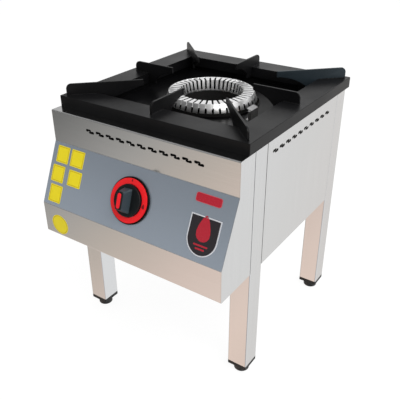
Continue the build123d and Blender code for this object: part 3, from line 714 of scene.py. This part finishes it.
patchSheet = {"thick": 0.0002, "corner": 0.002, "steps": 5, "inset": 0.0022, "line": 0.0012,
              "lineCorners": (0.0012, 0.0006),
              "lineShares": (0.5, 1.3)}   # the line's foot and top, in thicknesses of the sheet
patches = {                           # x0, x1, then down from the face's upper edge
    "patchA": (-0.235, -0.198, 0.008, 0.047),
    "patchB": (-0.191, -0.151, 0.008, 0.047),
    "patchC": (-0.240, -0.202, 0.054, 0.093),
    "patchD": (-0.188, -0.148, 0.055, 0.092),
    "patchE": (-0.236, -0.198, 0.100, 0.141),
}
patchHeights = (0.0, patchSheet["thick"])
lineHeights = tuple(patchSheet["thick"] * share for share in patchSheet["lineShares"])
for name, box in patches.items():
    fixed(name, [roundedOutline(box, patchSheet["corner"], patchSheet["steps"])], patchHeights,
          onFace, "yellowFilm")
    outer = insetBox(box, patchSheet["inset"])
    edges = (outer, insetBox(outer, patchSheet["line"]))
    fixed(name + "Line", [roundedOutline(edge, corner, patchSheet["steps"])
                          for edge, corner in zip(edges, patchSheet["lineCorners"])],
          lineHeights, onFace, "ochreLine")

disc = {"x": -0.2025, "z": fasciaLow.z + 0.031, "radius": 0.0255, "steps": 48, "line": 0.0012,
        "inset": 0.002}


def discOutline(inset):
    radius = disc["radius"] - inset
    turns = [2 * math.pi * step / disc["steps"] for step in range(disc["steps"])]
    return [(disc["x"] + radius * math.cos(turn), disc["z"] + radius * math.sin(turn))
            for turn in turns]


def onChin(x, z, height):
    return Vector((x, fasciaLow.y - height, z))


fixed("chinDisc", [discOutline(0.0)], patchHeights, onChin, "yellowFilm")
fixed("chinDiscLine", [discOutline(disc["inset"]), discOutline(disc["inset"] + disc["line"])],
      lineHeights, onChin, "ochreLine")

badge = {"box": (0.156, 0.217, 0.012, 0.031), "corner": 0.005, "thick": 0.0008, "rim": 0.0009,
         "sunk": 0.0002, "tuck": 0.8, "steps": 6}


def badgeOutline(inset):
    return roundedOutline(insetBox(badge["box"], inset), badge["corner"] - inset, badge["steps"])


fixed("badgePlate", [badgeOutline(badge["rim"] * badge["tuck"])],
      (0.0, badge["thick"] - badge["sunk"]), onFace, "plateRed")
fixed("badgeRim", [badgeOutline(0.0), badgeOutline(badge["rim"])], (0.0, badge["thick"]), onFace,
      "rimRed")

# Emblem: an upright plate with a round foot and a silver edge, a red drop over two bars
emblem = {"x": 0.191, "y": 0.096, "halfWidth": 0.036, "halfHeight": 0.041, "shoulder": 0.004,
          "steps": 20, "edge": 0.0024, "thick": 0.0009, "raised": 0.0003, "tuck": 0.8,
          "signFoot": 1.3}


def emblemOutline(inset):
    wide = emblem["halfWidth"] - inset
    top = -emblem["halfHeight"] + inset
    drop = emblem["halfHeight"] - inset - emblem["shoulder"]
    points = [(wide, top), (-wide, top)]
    for step in range(emblem["steps"] + 1):
        turn = math.pi * step / emblem["steps"]
        points.append((-wide * math.cos(turn), emblem["shoulder"] + drop * math.sin(turn)))
    return [(emblem["x"] + x, emblem["y"] + y) for x, y in points]


def dropOutline(x, y, size, steps=16):
    # A drop with its tip up the face: a circle drawn out to a point
    points = []
    for step in range(steps):
        turn = 2 * math.pi * step / steps
        lift = (0.5 + 0.5 * math.cos(turn)) ** 3
        points.append((x + size * 0.5 * math.sin(turn) * (1 - lift * 0.3),
                       y - size * (0.5 * math.cos(turn) + lift * 0.6)))
    return points


fixed("emblemEdge", [emblemOutline(0.0), emblemOutline(emblem["edge"])], (0.0, emblem["thick"]),
      onFace, "plateSilver")
fixed("emblemField", [emblemOutline(emblem["edge"] * emblem["tuck"])],
      (0.0, emblem["thick"] - emblem["raised"]), onFace, "plateBlack")
emblemSigns = {"dropSize": 0.034, "dropY": -0.006, "barHalf": 0.017, "barHeight": 0.0035,
               "barY": (0.017, 0.0245), "barTaper": 0.006, "barCorner": 0.0015, "barSteps": 4}


def emblemSignsOf(shape):
    low = emblem["thick"] - emblem["raised"] * emblem["signFoot"]
    high = emblem["thick"]
    slab(shape, dropOutline(emblem["x"], emblem["y"] + emblemSigns["dropY"], emblemSigns["dropSize"]),
         low, high, onFace)
    for index, barY in enumerate(emblemSigns["barY"]):
        half = emblemSigns["barHalf"] - index * emblemSigns["barTaper"]
        y = emblem["y"] + barY
        box = (emblem["x"] - half, emblem["x"] + half, y, y + emblemSigns["barHeight"])
        slab(shape, roundedOutline(box, emblemSigns["barCorner"], emblemSigns["barSteps"]), low, high,
             onFace)


newPiece("emblemSigns", meshOf("emblemSigns", emblemSignsOf), "root", finishes["plateRed"])

# Dial marks: a small drop at the top and a large one at the right for the flame's size
marks = {"drops": ((0.0, 0.0435, 0.0035), (0.0410, -0.004, 0.007)), "thick": 0.0001}


def marksOf(shape):
    for x, up, size in marks["drops"]:
        slab(shape, dropOutline(x, dial["drop"] - up, size), dial["ringTop"],
             dial["ringTop"] + marks["thick"], onFace)


newPiece("dialMarks", meshOf("dialMarks", marksOf), "root", finishes["markRed"])
print("plates made")


# Geometry Nodes: one stamp set along points, for the crown's teeth, the weld beads and the threads

class Grower:
    def __init__(self, name, sizes):
        self.tree = bpy.data.node_groups.new(name, "GeometryNodeTree")
        face = self.tree.interface
        for way in ("INPUT", "OUTPUT"):
            face.new_socket("Geometry", in_out=way, socket_type="NodeSocketGeometry")
        for key, value in sizes.items():
            kind = "NodeSocketInt" if isinstance(value, int) else "NodeSocketFloat"
            face.new_socket(key, in_out="INPUT", socket_type=kind).default_value = value
        self.given = self.tree.nodes.new("NodeGroupInput").outputs
        self.end = self.tree.nodes.new("NodeGroupOutput")

    def add(self, kind, sockets=None, **settings):
        node = self.tree.nodes.new(kind)
        for key, value in settings.items():
            setattr(node, key, value)
        for key, value in (sockets or {}).items():
            if isinstance(value, bpy.types.NodeSocket):
                self.tree.links.new(value, node.inputs[key])
            else:
                node.inputs[key].default_value = value
        return node

    def close(self, geometry, finish):
        real = self.add("GeometryNodeRealizeInstances", {"Geometry": geometry})
        done = self.add("GeometryNodeSetMaterial", {"Geometry": real.outputs[0], "Material": finish})
        self.tree.links.new(done.outputs[0], self.end.inputs[0])
        return self.tree


def grown(name, mesh, tree, body, spot=None, edge=0.0):
    # Runs a tree on a mesh and keeps the result as a plain mesh: edge is the width of its broken
    # edges, and spot moves it into place
    seed = linked(name + "Seed", mesh)
    modifier = seed.modifiers.new("grow", "NODES")
    modifier.node_group = tree
    if edge:
        breakEdges(seed, edge)
    done = shownMesh(seed, name)
    bpy.data.objects.remove(seed)
    if spot:
        done.transform(spot)
    done.name = name
    return newPiece(name, done, body, None)


def lineMesh(name, runs):
    points = [tuple(point) for run in runs for point in run]
    return plainMesh(name, points, [(2 * index, 2 * index + 1) for index in range(len(runs))])


crown = {
    "teeth": 42,
    "first": math.radians(5.2),           # first slot, from the right
    "edge": 0.0003,
    "offs": (0.0, 0.0008, 0.0021, 0.00235, 0.0025),   # columns, measured from a slot's middle
    "vee": 0.0008,                        # depth of the groove between two teeth
    # Rows along the tooth: radius and height of its skin, the same of the wall's back, and the first
    # column that is there from this row to the next
    "rows": ((0.1105, 0.005, 0.1055, 0.005, 4), (0.1105, 0.006, 0.1051, 0.006, 4),
             (0.1063, 0.016, 0.1013, 0.016, 0), (0.1025, 0.025, 0.0975, 0.020, 0),
             (0.1021, 0.025, 0.0973, 0.020, 2), (0.0830, 0.025, 0.0830, 0.020, 3),
             (0.0770, 0.025, 0.0818, 0.0195, 3), (0.0720, 0.003, 0.0776, 0.003, 0),
             (0.0720, 0.000, 0.0770, 0.000, 0)),
    "grooved": (2, 3),                    # rows whose skin dips at the slot's middle
    "merge": 0.00001,
}


def toothOf(shape):
    # One tooth of the crown as a bent wall: a skin, a back, and a rim where a neighbour is missing
    half = math.pi / crown["teeth"]

    def rowOf(radius, height, dip=0.0):
        # Columns beside the slots at both sides, and two that share out what lies between
        turns = [half - off / radius for off in crown["offs"]]
        turns.append(turns[-1] / 3)
        turns = [-turn for turn in turns] + turns[::-1]
        radii = [radius - dip, *[radius] * (len(turns) - 2), radius - dip]
        return [shape.verts.new((far * math.cos(turn), far * math.sin(turn), height))
                for far, turn in zip(radii, turns)]

    skinPoints = []
    backPoints = []
    for number, (radius, height, backRadius, backHeight, first) in enumerate(crown["rows"]):
        skinPoints.append(rowOf(radius, height, crown["vee"] if number in crown["grooved"] else 0.0))
        backPoints.append(rowOf(backRadius, backHeight))
    last = len(skinPoints[0]) - 1
    cells = {(number, index) for number, row in enumerate(crown["rows"][:-1])
             for index in range(row[4], last - row[4])}
    for number, index in cells:
        ring = ((number, index), (number, index + 1), (number + 1, index + 1), (number + 1, index))
        for points in (skinPoints, backPoints):
            shape.faces.new([points[row][column] for row, column in ring])
        for one, two, beyond in ((ring[0], ring[1], (number - 1, index)),
                                 (ring[3], ring[2], (number + 1, index)),
                                 (ring[0], ring[3], (number, index - 1)),
                                 (ring[1], ring[2], (number, index + 1))):
            if beyond not in cells and 0 <= beyond[1] < last:
                shape.faces.new([points[row][column] for points, row, column in (
                    (skinPoints, *one), (skinPoints, *two), (backPoints, *two), (backPoints, *one))])
    loose = [vert for vert in shape.verts if not vert.link_faces]
    bmesh.ops.delete(shape, geom=loose, context="VERTS")
    for face in shape.faces:
        face.smooth = True


def crownTree(finish):
    # The tooth repeated round the burner's axis, and joined to its neighbours where they meet
    step = 2 * math.pi / crown["teeth"]
    grow = Grower("crownRing", {"Teeth": crown["teeth"], "First": crown["first"] + step / 2,
                                "Step": step, "Merge": crown["merge"]})
    points = grow.add("GeometryNodePoints", {"Count": grow.given["Teeth"]})
    index = grow.add("GeometryNodeInputIndex")
    turn = grow.add("ShaderNodeMath", {0: index.outputs[0], 1: grow.given["Step"],
                                       2: grow.given["First"]}, operation="MULTIPLY_ADD")
    upright = grow.add("ShaderNodeCombineXYZ", {"Z": turn.outputs[0]})
    stamps = grow.add("GeometryNodeInstanceOnPoints", {"Points": points.outputs[0],
                                                       "Instance": grow.given["Geometry"],
                                                       "Rotation": upright.outputs[0]})
    real = grow.add("GeometryNodeRealizeInstances", {"Geometry": stamps.outputs[0]})
    joined = grow.add("GeometryNodeMergeByDistance", {"Geometry": real.outputs[0],
                                                      "Distance": grow.given["Merge"]})
    return grow.close(joined.outputs[0], finish)


ring = grown("crownRing", meshOf("crownTooth", toothOf), crownTree(finishes["crown_metal"]), "crown",
             Matrix.Translation(crownFoot), crown["edge"])
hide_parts("burner_crown")
print("crown made:", len(ring.data.polygons), "faces")

beads = {
    "pitch": 0.0016,
    "radius": 0.0013,
    "seed": 7,
    "half": 0.0025,                       # half a finger's thickness
    "opening": 0.190,                     # half the width of the frame's opening
    "frame": 0.250,                       # half the frame's width
    "cornerEnd": 0.0155,                  # corner finger's end, in from the frame's corner
    "sideEnd": 0.231,                     # side finger's end, from the burner's axis
    "bare": (0.003, 0.001),               # length without weld at the inner and the outer end
}


def beadTree(finish):
    # Overlapping ripples of weld along each line
    grow = Grower("weldBeads", {"Pitch": beads["pitch"], "Radius": beads["radius"],
                                "Seed": beads["seed"]})
    line = grow.add("GeometryNodeMeshToCurve", {"Mesh": grow.given["Geometry"]})
    points = grow.add("GeometryNodeCurveToPoints", {"Curve": line.outputs[0],
                                                    "Length": grow.given["Pitch"]}, mode="LENGTH")
    ripple = grow.add("GeometryNodeMeshUVSphere", {"Segments": 8, "Rings": 5,
                                                   "Radius": grow.given["Radius"]})
    # The random value's float sockets share their names with its vector ones, so they go by number
    vary = grow.add("FunctionNodeRandomValue", {2: 0.85, 3: 1.12, "Seed": grow.given["Seed"]},
                    data_type="FLOAT")
    stamps = grow.add("GeometryNodeInstanceOnPoints", {"Points": points.outputs["Points"],
                                                       "Instance": ripple.outputs["Mesh"],
                                                       "Rotation": points.outputs["Rotation"],
                                                       "Scale": vary.outputs[1]})
    return grow.close(stamps.outputs[0], finish)


def fingerLines(node, side):
    # Foot of a finger on the frame's border, one line each side of the plate
    centre = middle(node)
    away = Vector((centre.x - burnerAxis.x, centre.y - burnerAxis.y, 0)).normalized()
    across = Vector((-away.y, away.x, 0))
    corner = abs(away.x * away.y) > 0.1
    start = beads["opening"] * (math.sqrt(2) if corner else 1) + beads["bare"][0]
    end = beads["frame"] * math.sqrt(2) - beads["cornerEnd"] if corner else beads["sideEnd"]
    base = Vector((burnerAxis.x, burnerAxis.y, frameHigh.z)) + across * side * beads["half"]
    return base + away * start, base + away * (end - beads["bare"][1])


fingerNames = [name for name in sorted(nodes) if "_finger_" in name]
beadRuns = [fingerLines(name, side) for name in fingerNames for side in (-1, 1)]
grown("fingerWelds", lineMesh("fingerWelds", beadRuns), beadTree(finishes["black_enamel"]),
      "pan_support")
print("weld beads grown")


threads = {
    "steps": 24,
    "inlet": {"radius": 0.0101, "length": 0.0145, "pitch": 0.0018, "ridge": 0.0006},
    "stud": {"radius": 0.0048, "length": 0.036, "pitch": 0.0015, "ridge": 0.0005},
    "studPoint": 0.002,
}


def threadTree(finish, sizes):
    # A screw thread's ridge, wound up from each point
    grow = Grower("screwThread", {"Radius": sizes["radius"], "Length": sizes["length"],
                                  "Ridge": sizes["ridge"], "Turns": sizes["length"] / sizes["pitch"]})
    radius = grow.given["Radius"]
    helix = grow.add("GeometryNodeCurveSpiral", {
        "Resolution": threads["steps"], "Rotations": grow.given["Turns"], "Start Radius": radius,
        "End Radius": radius, "Height": grow.given["Length"]})
    tooth = grow.add("GeometryNodeCurvePrimitiveCircle", {"Resolution": 4,
                                                          "Radius": grow.given["Ridge"]},
                     mode="RADIUS")
    wound = grow.add("GeometryNodeCurveToMesh", {"Curve": helix.outputs[0],
                                                 "Profile Curve": tooth.outputs[0],
                                                 "Fill Caps": True})
    points = grow.add("GeometryNodeMeshToPoints", {"Mesh": grow.given["Geometry"]})
    stamps = grow.add("GeometryNodeInstanceOnPoints", {"Points": points.outputs[0],
                                                       "Instance": wound.outputs[0]})
    return grow.close(stamps.outputs[0], finish)


def threadOn(node, name, sizes, spot):
    grown(name, plainMesh(name, [(0, 0, 0)]), threadTree(finishes[slotOf[node]], sizes), bodyOf[node],
          spot)


inletFoot = middle("gas_inlet")
inletFoot.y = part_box("gas_inlet")[1].y - threads["inlet"]["length"] - threads["inlet"]["ridge"]
threadOn("gas_inlet", "inletThread", threads["inlet"],
         Matrix.Translation(inletFoot) @ Matrix.Rotation(math.radians(-90), 4, "X"))
for name in sorted(nodes):
    if name.startswith("foot_") and "socket" not in name:
        foot = middle(name)
        foot.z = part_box(name)[1].z - threads["stud"]["length"] - threads["studPoint"]
        threadOn(name, name + "Thread", threads["stud"], Matrix.Translation(foot))
print("threads wound")


# Camera, lamps, floor and backdrop

view = {
    "place": (0.7124, -1.0895, 1.0383),   # the second value from the burner's axis
    "azimuth": math.radians(34.42),
    "down": math.radians(29.33),
    "roll": math.radians(-0.23),
    "lens": 50.5,
    "sensor": 36.0,
    "clip": (0.05, 60),
}


def makeCamera():
    eye = bpy.data.cameras.new("camera")
    eye.lens = view["lens"]
    eye.sensor_width = view["sensor"]
    eye.clip_start, eye.clip_end = view["clip"]
    camera = linked("camera", eye)
    x, y, z = view["place"]
    back = Vector((math.sin(view["azimuth"]) * math.cos(view["down"]),
                   -math.cos(view["azimuth"]) * math.cos(view["down"]), math.sin(view["down"])))
    turn = (-back).to_track_quat("-Z", "Y").to_matrix().to_4x4()
    camera.matrix_world = Matrix.Translation((x, burnerAxis.y + y, z)) @ turn @ Matrix.Rotation(
        view["roll"], 4, "Z")
    scene.camera = camera


makeCamera()

room = {
    "fill": 0.6,                      # what lights the object from all round
    "floorSize": 14.0,
    "floorGlow": 1.095,
    "shadow": 0.15,                   # how much of the floor's own shading the camera sees
    "aim": (0, 0, 0.4),               # what the lamps point at
}
# What polished metal sees of the room, by the direction it looks in: values and their colours
lowAhead = ((-0.5, grey(0.12)), (-0.365, (0.22, 0.22, 0.215)), (-0.2, (0.46, 0.45, 0.43)),
            (-0.035, (0.67, 0.59, 0.52)), (0.128, (0.88, 0.72, 0.64)), (0.25, (0.97, 0.80, 0.71)),
            (0.33, (1.05, 0.84, 0.73)), (0.5, (0.8, 0.66, 0.58)), (0.8, (0.3, 0.28, 0.28)),
            (0.95, (0.4, 0.4, 0.42)), (1.2, (0.7, 0.7, 0.72)))
lowBehind = ((0.0, (0.72, 0.70, 0.68)), (0.29, (0.81, 0.78, 0.76)), (0.36, (0.85, 0.85, 0.84)),
             (0.43, (0.88, 0.885, 0.89)), (0.62, (0.97, 0.985, 1.0)))
highAhead = ((0.0, grey(0.85)), (0.1, grey(0.62)), (0.2, grey(0.2)), (0.3, grey(0.12)),
             (0.5, grey(0.15)), (1.0, grey(0.5)))
highBehind = ((-0.8, grey(0.3)), (-0.66, grey(0.7)), (-0.55, grey(1.0)))
overhead = {"from": 0.53, "to": 0.6, "colour": grey(0.35)}


def raysOf(paint):
    # Shares of the camera's own rays, and of those that metal and glass send on
    rays = paint.add("LightPath").socket.node.outputs
    seen = Wire(paint, rays["Is Camera Ray"])
    return seen, Wire(paint, rays["Is Glossy Ray"]) + Wire(paint, rays["Is Transmission Ray"])


def makeSky():
    world = bpy.data.worlds.new("room")
    scene.world = world
    paint = Paint(world)
    seen, mirrored = raysOf(paint)
    x, y, z = paint.split(paint.add("TexCoord", output=0))
    low = paint.mix(paint.share(y, -0.25, 0.15), paint.ramp(x - z, -0.5, 1.2, lowAhead),
                    paint.ramp(x, 0.0, 0.8, lowBehind))
    high = paint.mix(paint.share(y + x * 0.25, -0.6, 0.1), paint.ramp(z, 0.0, 1.0, highAhead),
                     paint.ramp(x, -0.8, 0.2, highBehind))
    high = paint.mix(paint.share(z, overhead["from"], overhead["to"]), high, overhead["colour"])
    mirror = paint.mix(paint.share(z, -0.04, 0.06), low, high)
    colour = paint.mix(mirrored, grey(room["fill"]), mirror)
    colour = paint.mix(seen, colour, grey(1.0))
    glow = paint.add("Background", {"Color": colour, "Strength": 1.0})
    paint.add("OutputWorld", {"Surface": glow})


makeSky()


def makeFloor():
    half = room["floorSize"] / 2
    corners = [(-half, -half, 0), (half, -half, 0), (half, half, 0), (-half, half, 0)]
    mesh = plainMesh("floor", corners, faces=[(0, 1, 2, 3)])
    floor = linked("floor", mesh)
    paint = newPaint("floor")
    seen, mirrored = raysOf(paint)
    plain = paint.add("BsdfDiffuse", {"Color": grey(0.8)})
    white = paint.add("Emission", {"Color": grey(1.0), "Strength": room["floorGlow"]})
    clear = paint.add("BsdfTransparent")
    pale = paint.add("MixShader", {0: room["shadow"], 1: white, 2: plain})
    lit = paint.add("MixShader", {0: mirrored, 1: plain, 2: clear})
    shown = paint.add("MixShader", {0: seen, 1: lit, 2: pale})
    paint.add("OutputMaterial", {"Surface": shown})
    mesh.materials.append(paint.block)


makeFloor()

lamps = {
    "key": {"place": (1.7, -0.9, 2.3), "size": 1.4, "power": 34.0, "colour": (1.0, 0.99, 0.97)},
    "top": {"place": (0.7, 0.9, 2.4), "size": 1.8, "power": 22.0, "colour": (0.97, 0.98, 1.0)},
}


def makeLamps():
    aim = Vector(room["aim"])
    for name, look in lamps.items():
        lamp = bpy.data.lights.new(name, "AREA")
        lamp.shape = "SQUARE"
        lamp.size = look["size"]
        lamp.energy = look["power"]
        lamp.color = look["colour"]
        holder = linked(name, lamp)
        place = Vector(look["place"])
        holder.matrix_world = Matrix.Translation(place) @ (aim - place).to_track_quat(
            "-Z", "Y").to_matrix().to_4x4()


makeLamps()
scene.view_settings.view_transform = "Standard"
print("camera, sky, floor and lamps made")
